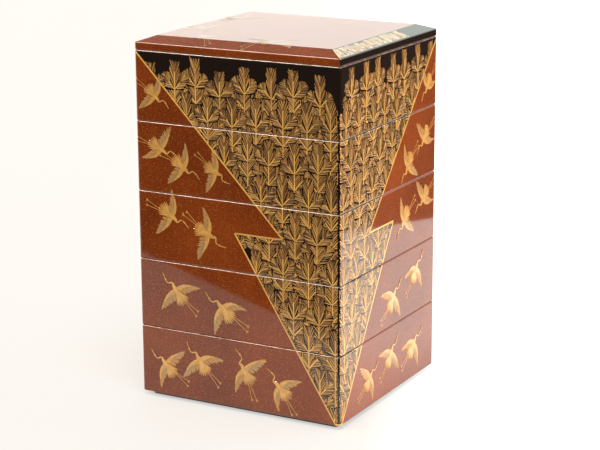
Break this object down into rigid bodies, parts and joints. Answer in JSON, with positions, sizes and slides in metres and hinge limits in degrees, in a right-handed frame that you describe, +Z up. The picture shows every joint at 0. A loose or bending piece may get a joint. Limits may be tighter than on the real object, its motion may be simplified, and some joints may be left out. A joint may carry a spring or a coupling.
{
  "type": "lacquer stacking box",
  "caption": "Tall rectangular stack of nesting lacquered food boxes under a lid with a sloping margin; each tier is open above and its foot ring drops into the mouth below.",
  "frame": {"origin": "on the ground under the middle of the box, in the plane of the bottom tier's foot ring", "axes": "+Z up through the stack, +X along the wide front face towards its right side, the front faces -Y"},
  "size_m": [0.228, 0.216, 0.372],
  "materials": {
    "brown_lacquer": "glossy red-brown lacquer sprinkled with fine gold flakes, over wood",
    "black_lacquer": "glossy black lacquer over wood",
    "gold_powder": "polished gold powder set in lacquer"
  },
  "bodies": {
    "root": {"lid": "brown_lacquer", "tier_1": "brown_lacquer", "tier_2": "brown_lacquer", "tier_3": "brown_lacquer", "tier_4": "brown_lacquer", "tier_5": "brown_lacquer"}
  },
  "joints": []
}
